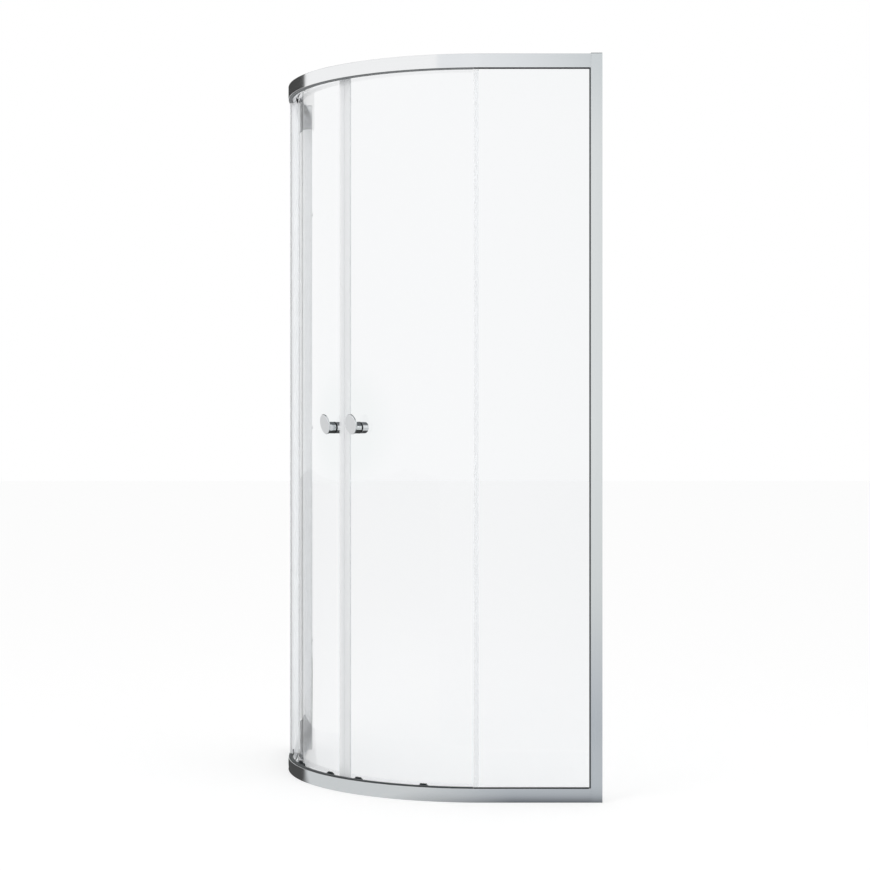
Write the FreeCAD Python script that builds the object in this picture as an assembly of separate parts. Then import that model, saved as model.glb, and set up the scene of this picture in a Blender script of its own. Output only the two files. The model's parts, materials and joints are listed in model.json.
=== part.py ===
"""Quadrant shower enclosure: two flat fixed panes, two curved sliding doors.

Millimetres, +Z up. The origin is the centre of the footprint, on the floor.
The flat side with the right wall profile runs along X and faces -Y. The flat
side with the left wall profile runs along Y and faces -X. The left half is
the right half mirrored in the upright plane x = y.

Two coordinates describe every section:
  t  depth inwards from the outer face of the rails
  u  distance from the wall's plane, towards the shower
"""

import FreeCAD
import Part
import math
import os

# Overall size
HEIGHT = 1950.0
SIDE = 860.0
CURVE_RADIUS = 550.0

HALF = SIDE / 2
CURVE_CENTRE = CURVE_RADIUS - HALF
CAP_THICKNESS = 2.5
PROFILE_TOP = HEIGHT - CAP_THICKNESS

# Rails
RAIL_HEIGHT = 36.0
TOP_RAIL_DEPTH = 27.0
BOTTOM_RAIL_DEPTH = 30.0
RAIL_WALL = 2.0
RIB_OUTER = 12.0
RIB_INNER = 13.2
LEDGE_EDGE = 21.8
LEDGE_DROP = 33.0
LEDGE_THICKNESS = 2.0
TOP_LIP_DROP = 8.5
BOTTOM_RIB_TOP = 30.0
BOTTOM_LIP_TOP = 7.0
BOTTOM_LIP_THICKNESS = 1.5
PORT_DEPTH = 16.5
PORT_DROP = 4.2
PORT_RADIUS = 2.5
PORT_BORE = 1.5

# Upright profiles
WALL_PROFILE_WIDTH = 29.0
WALL_PROFILE_DEPTH = 40.0
WALL_PROFILE_WEB = 2.5
WALL_PROFILE_LEG = 2.0
JAMB_BACK = 5.0
JAMB_FRONT = 30.0
JAMB_OUTER = 2.5
JAMB_INNER = 37.5
JAMB_WALL = 1.5
POCKET_INNER = 12.2
POCKET_FLOOR = 22.0
RAIL_END = 30.3
CAP_PLUG_DEPTH = 12.0
CAP_PLUG_MARGIN = 1.8
CAP_PLUG_END = 18.0

# Holes and screws of the upright profiles: radius first, then length
MIDDLE_HEIGHT = 975.0
WALL_HOLE_RADIUS = 2.5
WALL_HOLE_OFFSETS = (-855.0, -285.0, 285.0, 855.0)
JAMB_SCREW_HEIGHTS = (330.0, 975.0, 1620.0)
JAMB_SCREW_U = 20.0
JAMB_SCREW_HOLE = 2.1
JAMB_SCREW_SHANK = (1.9, 9.0)
JAMB_SCREW_HEAD = (3.9, 2.4)
JAMB_SCREW_RECESS = (1.3, 1.2)
DRIVER_HOLE = 2.7
END_SCREW_SHANK = (1.4, 18.0)
END_SCREW_HEAD = (2.6, 2.0)
END_SCREW_RECESS = (1.1, 1.1)

# Glass
GLASS = 5.0
GLASS_CHAMFER = 0.6
FIXED_GLASS_T = 5.5
FIXED_GLASS_BOTTOM = 8.0
FIXED_GLASS_TOP = PROFILE_TOP - FIXED_GLASS_BOTTOM
FIXED_GLASS_WALL_EDGE = 24.0
FIXED_GLASS_FREE_X = 96.5
DOOR_GLASS_T = 27.5
DOOR_GLASS_BOTTOM = 12.0
DOOR_GLASS_TOP = PROFILE_TOP - 10.5
DOOR_GLASS_TRAIL = 1.4
DOOR_GLASS_LEAD = 44.3

# Rubber gaskets of the fixed glass
GASKET_LIP = 3.5
GASKET_FIT = 0.1
GROOVE_GAP = 0.5
JAMB_LIP = 4.0
JAMB_INNER_LIP = 2.0
STRIP_DEPTH = 7.0
STRIP_MARGIN = 2.75

# Clear seals
SEAL_WALL = 1.2
SEAL_GAP = 0.15
SEAL_DEPTH = 12.0
SEAL_BOTTOM = RAIL_HEIGHT + GASKET_LIP + GROOVE_GAP
SEAL_TOP = PROFILE_TOP - SEAL_BOTTOM
FIXED_FIN_TIP = 23.0
FIXED_FIN_BOTTOM = 52.0
DOOR_FIN_TIP = 14.5
MAGNET_SEAL_BOTTOM = 14.0
MAGNET_SEAL_TOP = PROFILE_TOP - 13.0
MAGNET_SEAL_TAIL = 42.75
MAGNET_SEAL_FACE = 44.955
MAGNET_MARGIN = 2.0

# Handle, on an axis square to the glass
HANDLE_ANGLE = 39.55
HANDLE_RADIUS = 16.0
HANDLE_RING = 2.0
OUTER_STEM = 15.5
INNER_KNOB = 40.0
KNOB_ROUNDING = 6.0
PLATE_WIDTH = 38.0
PLATE_HEIGHT = 55.0
PLATE_THICKNESS = 6.5
PLATE_ROUNDING = 2.0
PLATE_LEAN = 13.0
PLATE_DROP = 0.9
STUD_RADIUS = 4.0
STUD_REACH = 12.0
STUD_BORE = 13.0
HANDLE_HOLE = 6.0

# Rollers
ROLLER_ANGLES = {"lead": 38.9, "trail": 17.25}
TRACK_GAP = 0.3
RUNNING_FIT = 0.05
THREAD_FIT = 0.1
AXLE_HEAD_GAP = 0.4
WHEEL_CHAMFER = 0.5
WHEEL_RECESS = 0.8
RIM_SHARE = 0.78
BOSS_SHARE = 0.18
NECK_RADIUS = 3.5
THREAD_RADIUS = 2.5
GLASS_HOLE = 5.0
GLASS_RING = 0.8
RING_BORE = 0.2
CAP_RADIUS = 7.0
CAP_HEIGHT = 3.2
CAP_RIM = 1.0
CAP_BORE_DEPTH = 2.4
CAP_KEY = (1.6, 0.6)
TOP_WHEEL_RADIUS = 11.0
TOP_WHEEL_T = 15.5
TOP_WHEEL_WIDTH = 5.5
TOP_WHEEL_Z = PROFILE_TOP - LEDGE_DROP + TOP_WHEEL_RADIUS + TRACK_GAP
TOP_AXLE = 3.0
TOP_AXLE_HEAD = (4.5, 1.1)
BOTTOM_WHEEL_RADIUS = 8.5
BOTTOM_WHEEL_T = 19.4
BOTTOM_WHEEL_WIDTH = 3.8
BOTTOM_WHEEL_Z = RAIL_WALL + TRACK_GAP + BOTTOM_WHEEL_RADIUS
BOTTOM_AXLE = 2.2
BOTTOM_AXLE_HEAD = (3.0, 0.7)
STOP_DISTANCE = 56.0
STOP_LENGTH = 12.0
STOP_HEIGHT = 18.0
STOP_INSET = 0.8

# Bottom housings, each with its slider and spring
HOUSING_WIDTH = 25.0
HOUSING_OUTER = 17.7
HOUSING_BOTTOM = 9.5
HOUSING_TOP = 39.2
HOUSING_SHOULDER = 4.5
HOUSING_SCREW_Z = 28.5
CAVITY_T = (19.1, 25.5)
CAVITY_WIDTH = 18.0
CAVITY_TOP = 36.4
SLOT_WIDTH = 8.8
SLOT_TOP = 21.0
SLIDER_WIDTH = 17.3
SLIDER_PLAY = 0.4
SLIDER_BOTTOM = 19.9
SLIDER_TOP = 24.0
LEG_WIDTH = 10.0
LEG_DROP = 3.0
STEM_RADIUS = 1.3
PULL_WIDTH = 19.0
PULL_DEPTH = 6.4
PULL_HEIGHT = 2.2
PULL_ROUNDING = 2.5
SPRING_RADIUS = 2.1
SPRING_WIRE = 0.35
SPRING_GAP = 0.05
SPRING_TURNS = 5

# How far a cutter runs past the face it cuts, and how deep joined shapes overlap
OVERSHOOT = 1.0
OVERLAP = 1.0

UP = FreeCAD.Vector(0, 0, 1)


def box(low, high):
    """A box between two opposite corners."""
    size = [b - a for a, b in zip(low, high)]
    return Part.makeBox(size[0], size[1], size[2], FreeCAD.Vector(*low))


def right_box(u_span, t_span, z_span):
    """A box in the right flat side, given in u, t and z."""
    low = (HALF - u_span[1], -HALF + t_span[0], z_span[0])
    high = (HALF - u_span[0], -HALF + t_span[1], z_span[1])
    return box(low, high)


def mirrored(shape):
    """The same piece on the left half."""
    return shape.mirror(FreeCAD.Vector(0, 0, 0), FreeCAD.Vector(1, -1, 0))


def joined(solids):
    """Several touching solids as one."""
    shape = solids[0]
    for solid in solids[1:]:
        shape = shape.fuse(solid)
    return shape.removeSplitter()


def cylinder(radius, length, start, direction):
    return Part.makeCylinder(radius, length, FreeCAD.Vector(*start), FreeCAD.Vector(*direction))


def pan_screw(seat, direction, shank, head, recess):
    """Screw whose head stands on the seat and points along the direction."""
    back = [-value for value in direction]
    body = joined([cylinder(*shank, seat, back), cylinder(*head, seat, direction)])
    depth = head[1] - recess[1]
    floor = [value + step * depth for value, step in zip(seat, direction)]
    return body.cut(cylinder(recess[0], recess[1] + OVERSHOOT, floor, direction))


def arc_block(r_span, angle_span, z_span):
    """Part of a ring about the curve's centre; angles run from the right side to the left."""
    profile = Part.makePolygon([
        FreeCAD.Vector(0, -r_span[0], z_span[0]),
        FreeCAD.Vector(0, -r_span[1], z_span[0]),
        FreeCAD.Vector(0, -r_span[1], z_span[1]),
        FreeCAD.Vector(0, -r_span[0], z_span[1]),
        FreeCAD.Vector(0, -r_span[0], z_span[0]),
    ])
    ring = Part.Face(profile).revolve(FreeCAD.Vector(0, 0, 0), UP, angle_span[0] - angle_span[1])
    ring.rotate(FreeCAD.Vector(0, 0, 0), UP, -angle_span[0])
    ring.translate(FreeCAD.Vector(CURVE_CENTRE, CURVE_CENTRE, 0))
    return ring


def door_block(t_span, angle_span, z_span):
    """Part of a ring, given by its depth behind the rail's outer face."""
    radii = (CURVE_RADIUS - t_span[1], CURVE_RADIUS - t_span[0])
    return arc_block(radii, angle_span, z_span)


def on_door(shape, angle):
    """Carry a piece drawn at angle zero, about the curve's centre, round to its angle.

    It is drawn with +X along the rail and -Y pointing out of the shower, with the
    rail's outer face at y = -CURVE_RADIUS.
    """
    placed = shape.copy()
    placed.rotate(FreeCAD.Vector(0, 0, 0), UP, -angle)
    placed.translate(FreeCAD.Vector(CURVE_CENTRE, CURVE_CENTRE, 0))
    return placed


def local_box(width, t_span, z_span):
    """A box at angle zero, centred on the angle, its depth given as t."""
    low = (-width / 2, t_span[0] - CURVE_RADIUS, z_span[0])
    high = (width / 2, t_span[1] - CURVE_RADIUS, z_span[1])
    return box(low, high)


def local_disc(radius, t_span, z):
    """A disc at angle zero whose axis is square to the glass."""
    return cylinder(radius, t_span[1] - t_span[0], (0, t_span[0] - CURVE_RADIUS, z), (0, 1, 0))


def swept_section(points):
    """Carry a section, given in t and z, along the flat side, the curve and the other flat side."""
    corners = [FreeCAD.Vector(CURVE_CENTRE, -HALF + t, z) for t, z in points]
    section = Part.Face(Part.makePolygon(corners + corners[:1]))
    return joined(carried_round(section))


def swept_round(radius, t, z):
    """Carry a circle along the same path."""
    start = FreeCAD.Vector(CURVE_CENTRE, -HALF + t, z)
    circle = Part.Circle(start, FreeCAD.Vector(1, 0, 0), radius).toShape()
    return carried_round(Part.Face(Part.Wire([circle])))


def carried_round(section):
    """The three stretches of a rail whose section stands where the curve begins."""
    right = section.extrude(FreeCAD.Vector(HALF - RAIL_END - CURVE_CENTRE, 0, 0))
    curve = section.revolve(FreeCAD.Vector(CURVE_CENTRE, CURVE_CENTRE, 0), UP, -90)
    return [right, curve, mirrored(right)]


def rail_with_port(outline, port_z):
    """A rail with a round screw port along its web."""
    rail = swept_section(outline)
    for piece in swept_round(PORT_RADIUS, PORT_DEPTH, port_z):
        rail = rail.fuse(piece)
    for piece in swept_round(PORT_BORE, PORT_DEPTH, port_z):
        rail = rail.cut(piece)
    return rail.removeSplitter()


def top_rail():
    """Outer wall, glass groove, roller ledge and a hood with a short inner lip."""
    top = PROFILE_TOP
    depth = TOP_RAIL_DEPTH
    under = top - RAIL_WALL
    ledge_top = top - LEDGE_DROP
    ledge_bottom = ledge_top - LEDGE_THICKNESS
    outline = [
        (0, top), (depth, top), (depth, top - TOP_LIP_DROP),
        (depth - RAIL_WALL, top - TOP_LIP_DROP), (depth - RAIL_WALL, under),
        (RIB_INNER, under), (RIB_INNER, ledge_top), (LEDGE_EDGE, ledge_top),
        (LEDGE_EDGE, ledge_bottom), (RIB_OUTER, ledge_bottom), (RIB_OUTER, under),
        (RAIL_WALL, under), (RAIL_WALL, top - RAIL_HEIGHT), (0, top - RAIL_HEIGHT),
    ]
    return rail_with_port(outline, top - PORT_DROP)


def bottom_rail():
    """Outer wall, glass groove, and a race whose low inner lip keeps the wheels in."""
    depth = BOTTOM_RAIL_DEPTH
    lip = depth - BOTTOM_LIP_THICKNESS
    outline = [
        (0, 0), (depth, 0), (depth, BOTTOM_LIP_TOP), (lip, BOTTOM_LIP_TOP),
        (lip, RAIL_WALL), (RIB_INNER, RAIL_WALL), (RIB_INNER, BOTTOM_RIB_TOP),
        (RIB_OUTER, BOTTOM_RIB_TOP), (RIB_OUTER, RAIL_WALL), (RAIL_WALL, RAIL_WALL),
        (RAIL_WALL, RAIL_HEIGHT), (0, RAIL_HEIGHT),
    ]
    return rail_with_port(outline, PORT_DROP)


def drilled(profile, radius, u, t, z, direction, length):
    """Cut a round hole that starts at u, t and z in the right flat side."""
    start = (HALF - u, -HALF + t, z)
    return profile.cut(cylinder(radius, length, start, direction))


def wall_profile():
    """U channel with a row of wall screw holes in its web."""
    height = (0, PROFILE_TOP)
    depth = WALL_PROFILE_DEPTH
    leg = WALL_PROFILE_LEG
    channel = joined([
        right_box((0, WALL_PROFILE_WEB), (0, depth), height),
        right_box((0, WALL_PROFILE_WIDTH), (0, leg), height),
        right_box((0, WALL_PROFILE_WIDTH), (depth - leg, depth), height),
    ])
    for offset in WALL_HOLE_OFFSETS:
        channel = drilled(
            channel, WALL_HOLE_RADIUS, WALL_PROFILE_WEB + OVERSHOOT, depth / 2,
            MIDDLE_HEIGHT + offset, (1, 0, 0), WALL_PROFILE_WEB + 2 * OVERSHOOT)
    for z in JAMB_SCREW_HEIGHTS:
        channel = drilled(
            channel, JAMB_SCREW_HOLE, JAMB_SCREW_U, depth - leg - OVERSHOOT, z,
            (0, 1, 0), leg + 2 * OVERSHOOT)
    return channel


def jamb_profile():
    """Hollow upright with a pocket for the glass, open towards the shower."""
    through = (-OVERSHOOT, HEIGHT)
    inner_wall = POCKET_INNER + JAMB_WALL
    body = right_box((JAMB_BACK, JAMB_FRONT), (JAMB_OUTER, JAMB_INNER), (0, PROFILE_TOP))
    pocket = right_box(
        (POCKET_FLOOR, JAMB_FRONT + OVERSHOOT), (JAMB_OUTER + JAMB_WALL, POCKET_INNER), through)
    chamber = right_box(
        (JAMB_BACK + JAMB_WALL, JAMB_FRONT - JAMB_WALL), (inner_wall, JAMB_INNER - JAMB_WALL),
        through)
    back_chamber = right_box(
        (JAMB_BACK + JAMB_WALL, POCKET_FLOOR - JAMB_WALL), (JAMB_OUTER + JAMB_WALL, POCKET_INNER),
        through)
    jamb = body.cut(pocket).cut(chamber).cut(back_chamber)
    length = JAMB_WALL + 2 * OVERSHOOT
    back = JAMB_BACK + JAMB_WALL
    for z in (PORT_DROP, PROFILE_TOP - PORT_DROP):
        for radius, u in ((PORT_BORE, JAMB_FRONT), (DRIVER_HOLE, back)):
            jamb = drilled(jamb, radius, u + OVERSHOOT, PORT_DEPTH, z, (1, 0, 0), length)
    for z in JAMB_SCREW_HEIGHTS:
        inner = JAMB_INNER - JAMB_WALL - OVERSHOOT
        jamb = drilled(jamb, JAMB_SCREW_HOLE, JAMB_SCREW_U, inner, z, (0, 1, 0), length)
    return jamb.removeSplitter()


def fixed_glass():
    """Flat pane with arrised edges."""
    low = (FIXED_GLASS_FREE_X, -HALF + FIXED_GLASS_T, FIXED_GLASS_BOTTOM)
    high = (HALF - FIXED_GLASS_WALL_EDGE, -HALF + FIXED_GLASS_T + GLASS, FIXED_GLASS_TOP)
    pane = box(low, high)
    return pane.makeChamfer(GLASS_CHAMFER, [edge for edge in pane.Edges if edge.Length > GLASS + 1])


def gasket_faces():
    """Depths of the two gasket faces that grip the fixed glass."""
    return FIXED_GLASS_T - GASKET_FIT, FIXED_GLASS_T + GLASS + GASKET_FIT


def jamb_gasket():
    """Rubber U round the upright edge of the fixed glass, with a lip outside the jamb."""
    height = (RAIL_HEIGHT + GROOVE_GAP, PROFILE_TOP - RAIL_HEIGHT - GROOVE_GAP)
    grip_outer, grip_inner = gasket_faces()
    pocket = (JAMB_OUTER + JAMB_WALL + GASKET_FIT, POCKET_INNER - GASKET_FIT)
    floor = POCKET_FLOOR + GASKET_FIT
    lip_end = JAMB_FRONT + JAMB_LIP
    return joined([
        right_box((floor, lip_end), (pocket[0], grip_outer), height),
        right_box((floor, JAMB_FRONT + JAMB_INNER_LIP), (grip_inner, pocket[1]), height),
        right_box((floor, FIXED_GLASS_WALL_EDGE - GASKET_FIT), pocket, height),
        right_box((JAMB_FRONT + GASKET_FIT, lip_end), (JAMB_OUTER + GROOVE_GAP, grip_outer), height),
    ])


def rail_gasket(at_top):
    """Rubber U round the end of the fixed glass, in the rail's groove."""
    x_span = (FIXED_GLASS_FREE_X - 2 * OVERLAP, HALF - JAMB_FRONT - JAMB_LIP - GASKET_FIT)
    groove = (RAIL_WALL + GROOVE_GAP, RIB_OUTER - GROOVE_GAP)
    grip_outer, grip_inner = gasket_faces()
    floor = (RAIL_WALL + GROOVE_GAP, FIXED_GLASS_BOTTOM - GASKET_FIT)

    def bar(t_span, z_span):
        if at_top:
            z_span = (PROFILE_TOP - z_span[1], PROFILE_TOP - z_span[0])
        low = (x_span[0], -HALF + t_span[0], z_span[0])
        high = (x_span[1], -HALF + t_span[1], z_span[1])
        return box(low, high)

    return joined([
        bar(groove, floor),
        bar((groove[0], grip_outer), (floor[0], RAIL_HEIGHT + GASKET_LIP)),
        bar((grip_inner, groove[1]), (floor[0], BOTTOM_RIB_TOP - 2 * OVERLAP)),
    ])


def groove_strip(at_top):
    """Strip that closes the mouth of the rail's glass groove on the curve."""
    t_span = (RAIL_WALL + GROOVE_GAP, RIB_OUTER - GROOVE_GAP)
    z_span = (RAIL_HEIGHT - STRIP_DEPTH, RAIL_HEIGHT + GASKET_LIP)
    if at_top:
        z_span = (PROFILE_TOP - z_span[1], PROFILE_TOP - z_span[0])
    return door_block(t_span, (STRIP_MARGIN, 90 - STRIP_MARGIN), z_span)


def fixed_edge_seal():
    """Clear U on the free edge of the fixed glass, its fin cut back where the housings pass."""
    x0 = FIXED_GLASS_FREE_X - SEAL_GAP - SEAL_WALL
    x1 = FIXED_GLASS_FREE_X + SEAL_DEPTH
    outer = (FIXED_GLASS_T - SEAL_GAP - SEAL_WALL, FIXED_GLASS_T - SEAL_GAP)
    inner = (FIXED_GLASS_T + GLASS + SEAL_GAP, FIXED_GLASS_T + GLASS + SEAL_GAP + SEAL_WALL)

    def bar(x_span, t_span):
        return box((x_span[0], -HALF + t_span[0], SEAL_BOTTOM),
                   (x_span[1], -HALF + t_span[1], SEAL_TOP))

    return joined([
        bar((x0, x1), outer),
        bar((x0, x1), inner),
        bar((x0, x0 + SEAL_WALL), (outer[0], inner[1])),
        box((x0, -HALF + outer[0], FIXED_FIN_BOTTOM),
            (x0 + SEAL_WALL, -HALF + FIXED_FIN_TIP, SEAL_TOP)),
    ])


def profile_cap():
    """Cover on the top end of the wall profile, with a plug in the jamb's chamber."""
    plate = right_box((0, JAMB_FRONT), (0, WALL_PROFILE_DEPTH), (PROFILE_TOP, HEIGHT))
    inset = JAMB_WALL + CAP_PLUG_MARGIN
    plug = right_box(
        (JAMB_BACK + inset, CAP_PLUG_END), (POCKET_INNER + inset, JAMB_INNER - inset),
        (PROFILE_TOP - CAP_PLUG_DEPTH, PROFILE_TOP))
    return joined([plate, plug])


def rail_end_screws():
    """Screws through the jamb's front wall into the rails' ports."""
    screws = []
    for z in (PORT_DROP, PROFILE_TOP - PORT_DROP):
        seat = (HALF - JAMB_FRONT + JAMB_WALL, -HALF + PORT_DEPTH, z)
        screws.append(pan_screw(
            seat, (1, 0, 0), END_SCREW_SHANK, END_SCREW_HEAD, END_SCREW_RECESS))
    return screws


def jamb_screws():
    """Pan head screws through the wall profile's inner leg into the jamb."""
    screws = []
    for z in JAMB_SCREW_HEIGHTS:
        seat = (HALF - JAMB_SCREW_U, -HALF + WALL_PROFILE_DEPTH, z)
        screws.append(pan_screw(
            seat, (0, 1, 0), JAMB_SCREW_SHANK, JAMB_SCREW_HEAD, JAMB_SCREW_RECESS))
    return screws


def door_stop():
    """Buffer on the roller ledge that ends the door's travel."""
    x0 = CURVE_CENTRE + STOP_DISTANCE
    ledge_top = PROFILE_TOP - LEDGE_DROP
    low = (x0, -HALF + RIB_INNER + GASKET_FIT, ledge_top)
    high = (x0 + STOP_LENGTH, -HALF + LEDGE_EDGE - STOP_INSET, ledge_top + STOP_HEIGHT)
    return box(low, high)


def door_glass():
    """Curved pane with holes for the rollers and the handle."""
    faces = (DOOR_GLASS_T, DOOR_GLASS_T + GLASS)
    pane = door_block(
        faces, (DOOR_GLASS_TRAIL, DOOR_GLASS_LEAD), (DOOR_GLASS_BOTTOM, DOOR_GLASS_TOP))
    drill = (faces[0] - OVERSHOOT, faces[1] + OVERSHOOT)
    for angle in ROLLER_ANGLES.values():
        for z in (TOP_WHEEL_Z, HOUSING_SCREW_Z):
            pane = pane.cut(on_door(local_disc(GLASS_HOLE, drill, z), angle))
    return pane.cut(on_door(local_disc(HANDLE_HOLE, drill, MIDDLE_HEIGHT), HANDLE_ANGLE))


def degrees_along(length):
    """The angle that a length takes up on the door glass."""
    return math.degrees(length / (CURVE_RADIUS - DOOR_GLASS_T - GLASS / 2))


def clip_span():
    """Depth of a seal's clip round the door glass, outside and inside."""
    slot = (DOOR_GLASS_T - SEAL_GAP, DOOR_GLASS_T + GLASS + SEAL_GAP)
    return (slot[0] - SEAL_WALL, slot[1] + SEAL_WALL), slot


def magnet_angles():
    """The angles between which the magnet lies in its chamber."""
    start = DOOR_GLASS_LEAD + degrees_along(SEAL_GAP + SEAL_WALL)
    return start, MAGNET_SEAL_FACE - degrees_along(SEAL_WALL)


def magnetic_seal():
    """Clear clip on the leading edge of the door, with a chamber for the magnet."""
    outside, slot = clip_span()
    height = (MAGNET_SEAL_BOTTOM, MAGNET_SEAL_TOP)
    through = (height[0] - OVERSHOOT, height[1] + OVERSHOOT)
    open_end = MAGNET_SEAL_TAIL - degrees_along(OVERSHOOT)
    body = door_block(outside, (MAGNET_SEAL_TAIL, MAGNET_SEAL_FACE), height)
    clip = door_block(slot, (open_end, DOOR_GLASS_LEAD + degrees_along(SEAL_GAP)), through)
    chamber = door_block(slot, magnet_angles(), through)
    return body.cut(clip).cut(chamber)


def magnet_strip():
    """Flexible magnet along the leading edge."""
    start, end = magnet_angles()
    margin = degrees_along(THREAD_FIT)
    return door_block(
        (DOOR_GLASS_T, DOOR_GLASS_T + GLASS), (start + margin, end - margin),
        (MAGNET_SEAL_BOTTOM + MAGNET_MARGIN, MAGNET_SEAL_TOP - MAGNET_MARGIN))


def trailing_seal():
    """Clear clip on the trailing edge, with a fin towards the fixed glass."""
    outside, slot = clip_span()
    height = (SEAL_BOTTOM, SEAL_TOP)
    through = (height[0] - OVERSHOOT, height[1] + OVERSHOOT)
    edge = DOOR_GLASS_TRAIL - degrees_along(SEAL_GAP)
    end = edge - degrees_along(SEAL_WALL)
    body = door_block(outside, (end, end + degrees_along(SEAL_DEPTH)), height)
    clip = door_block(slot, (edge, end + degrees_along(SEAL_DEPTH + OVERSHOOT)), through)
    fin = door_block((DOOR_FIN_TIP, outside[0] + SEAL_WALL / 2), (end, edge), height)
    return joined([body.cut(clip), fin])


def leaning_plate():
    """Oval finger plate, leaning outwards at its top, and the space behind its middle."""
    stem_end = DOOR_GLASS_T - HANDLE_RING - OUTER_STEM
    low_z = MIDDLE_HEIGHT - HANDLE_RADIUS - PLATE_DROP
    centre_z = low_z + PLATE_HEIGHT / 2
    y = stem_end - CURVE_RADIUS
    ellipse = Part.Ellipse(FreeCAD.Vector(0, 0, 0), PLATE_HEIGHT / 2, PLATE_WIDTH / 2).toShape()
    ellipse.rotate(FreeCAD.Vector(0, 0, 0), UP, 90)
    ellipse.rotate(FreeCAD.Vector(0, 0, 0), FreeCAD.Vector(1, 0, 0), 90)
    ellipse.translate(FreeCAD.Vector(0, y, centre_z))
    plate = Part.Face(Part.Wire([ellipse])).extrude(FreeCAD.Vector(0, -PLATE_THICKNESS, 0))
    rims = [edge for edge in plate.Edges if edge.Length > PLATE_WIDTH * 2]
    plate = plate.makeFillet(PLATE_ROUNDING, rims)
    keep = box(
        (-PLATE_WIDTH, y - PLATE_THICKNESS / 2, low_z - PLATE_HEIGHT),
        (PLATE_WIDTH, y + 2 * OUTER_STEM, low_z + 2 * PLATE_HEIGHT))
    hinge = FreeCAD.Vector(0, y, low_z)
    for shape in (plate, keep):
        shape.rotate(hinge, FreeCAD.Vector(1, 0, 0), PLATE_LEAN)
    return plate, keep


def outer_handle(angle):
    """Round stem with an oval finger plate."""
    foot = DOOR_GLASS_T - HANDLE_RING
    stem = local_disc(HANDLE_RADIUS, (foot - OUTER_STEM - HANDLE_RADIUS, foot), MIDDLE_HEIGHT)
    plate, keep = leaning_plate()
    bore = local_disc(STUD_RADIUS + THREAD_FIT, (foot - STUD_BORE, foot + OVERSHOOT), MIDDLE_HEIGHT)
    return on_door(joined([stem.common(keep), plate]).cut(bore), angle)


def inner_knob():
    """Round knob with a rounded rim."""
    foot = DOOR_GLASS_T + GLASS + HANDLE_RING
    knob = local_disc(HANDLE_RADIUS, (foot, foot + INNER_KNOB), MIDDLE_HEIGHT)
    tip = foot + INNER_KNOB - CURVE_RADIUS
    rim = [edge for edge in knob.Edges
           if edge.BoundBox.YMin > tip - OVERSHOOT and edge.Length > HANDLE_RADIUS * 5]
    knob = knob.makeFillet(KNOB_ROUNDING, rim)
    bore = local_disc(STUD_RADIUS + THREAD_FIT, (foot - OVERSHOOT, foot + STUD_BORE), MIDDLE_HEIGHT)
    return on_door(knob.cut(bore), HANDLE_ANGLE)


def handle_stud():
    """Threaded stud that joins the outer handle and the inner knob through the glass."""
    reach = HANDLE_RING + STUD_REACH
    span = (DOOR_GLASS_T - reach, DOOR_GLASS_T + GLASS + reach)
    return on_door(local_disc(STUD_RADIUS, span, MIDDLE_HEIGHT), HANDLE_ANGLE)


def glass_rings():
    """Rubber rings on both faces of the glass, at every hole, each bedded to its curve."""
    outer_face, inner_face = DOOR_GLASS_T, DOOR_GLASS_T + GLASS
    rings = []

    def ring(radius, bore, thickness, z, angle):
        low = (0, 0, z - 2 * radius)
        within_outer = cylinder(CURVE_RADIUS - outer_face + GASKET_FIT, 4 * radius, low, (0, 0, 1))
        within_inner = cylinder(CURVE_RADIUS - inner_face - GASKET_FIT, 4 * radius, low, (0, 0, 1))
        outer = local_disc(radius, (outer_face - thickness, outer_face + OVERLAP), z)
        inner = local_disc(radius, (inner_face - OVERLAP, inner_face + thickness), z)
        hole = local_disc(bore, (outer_face - 2 * thickness, inner_face + 2 * thickness), z)
        rings.append(on_door(outer.cut(within_outer).cut(hole), angle))
        rings.append(on_door(inner.common(within_inner).cut(hole), angle))

    ring(HANDLE_RADIUS - RING_BORE, STUD_RADIUS + RING_BORE, HANDLE_RING, MIDDLE_HEIGHT,
         HANDLE_ANGLE)
    for angle in ROLLER_ANGLES.values():
        bore = NECK_RADIUS + RING_BORE
        ring(CAP_RADIUS - RING_BORE, bore, GLASS_RING, TOP_WHEEL_Z, angle)
        ring(CAP_RADIUS - CAP_RIM - RING_BORE, bore, GLASS_RING, HOUSING_SCREW_Z, angle)
    return rings


def top_roller_hub(angle):
    """Eccentric hub: head, axle, flange, and the neck that goes through the glass."""
    head_radius, head_thickness = TOP_AXLE_HEAD
    head_end = TOP_WHEEL_T - AXLE_HEAD_GAP
    flange = (TOP_WHEEL_T + TOP_WHEEL_WIDTH + TRACK_GAP, DOOR_GLASS_T - GLASS_RING)
    cap_face = DOOR_GLASS_T + GLASS + GLASS_RING
    hub = joined([
        local_disc(head_radius, (head_end - head_thickness, head_end), TOP_WHEEL_Z),
        local_disc(TOP_AXLE, (head_end - head_thickness / 2, flange[0] + OVERLAP), TOP_WHEEL_Z),
        local_disc(CAP_RADIUS, flange, TOP_WHEEL_Z),
        local_disc(NECK_RADIUS, (flange[1] - OVERLAP, cap_face - THREAD_FIT), TOP_WHEEL_Z),
        local_disc(THREAD_RADIUS, (cap_face - OVERLAP, cap_face + CAP_BORE_DEPTH - THREAD_FIT),
                   TOP_WHEEL_Z),
    ])
    return on_door(hub, angle)


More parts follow.
